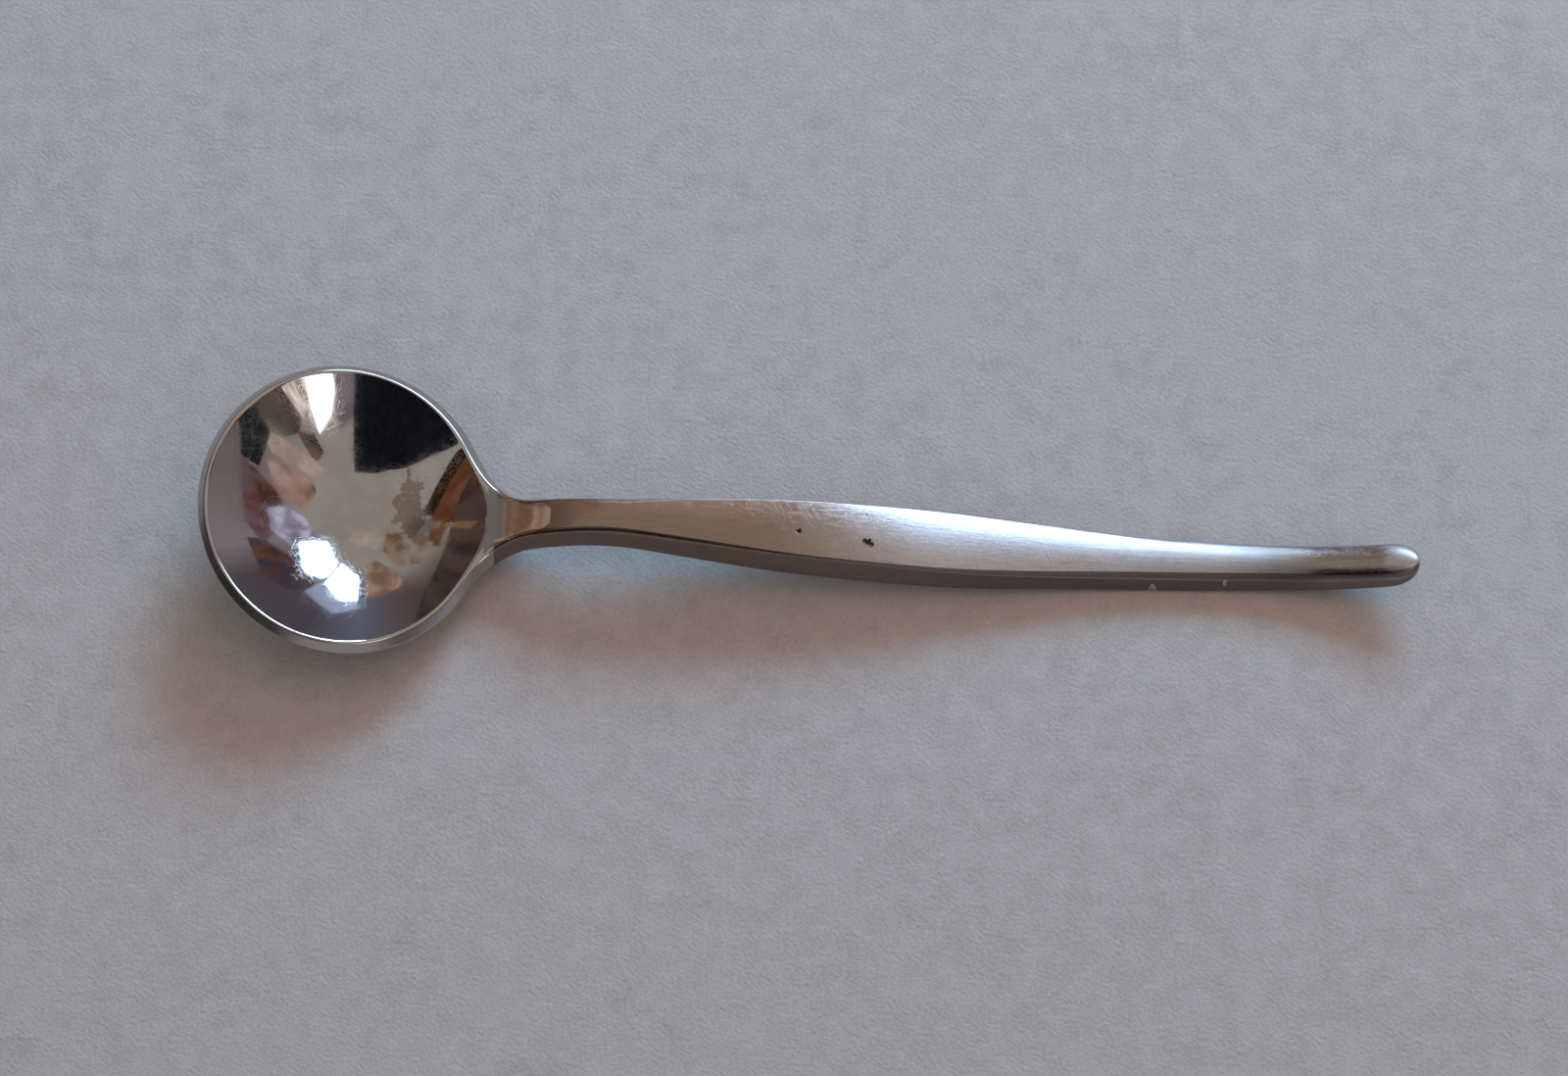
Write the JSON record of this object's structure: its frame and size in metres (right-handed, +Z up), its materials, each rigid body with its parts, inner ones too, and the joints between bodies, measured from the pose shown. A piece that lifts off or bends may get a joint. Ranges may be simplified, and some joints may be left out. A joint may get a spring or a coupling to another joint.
{
  "type": "teaspoon",
  "caption": "Small one-piece steel spoon with a round polished bowl, a pinched arched neck, a swelling brushed grip and a narrow upturned handle end, for stirring and spooning",
  "frame": {"origin": "on the table, under the middle of the spoon's bounding box", "axes": "+X along the spoon from the bowl to the handle end, +Y across it, +Z up out of the hollow of the bowl"},
  "size_m": [0.13, 0.0324, 0.0109],
  "materials": {
    "bowl_polish": "mirror-polished stainless steel with fine hairline scratches and a faint tarnish",
    "neck_polish": "bright polish that ends in a rounded edge on the neck",
    "handle_satin": "satin stainless steel brushed along the handle, worn and lightly scratched"
  },
  "bodies": {
    "root": {"bowl": "bowl_polish", "shoulders": "neck_polish", "stem": "handle_satin", "grip": "handle_satin", "handle_end": "handle_satin"}
  },
  "joints": []
}
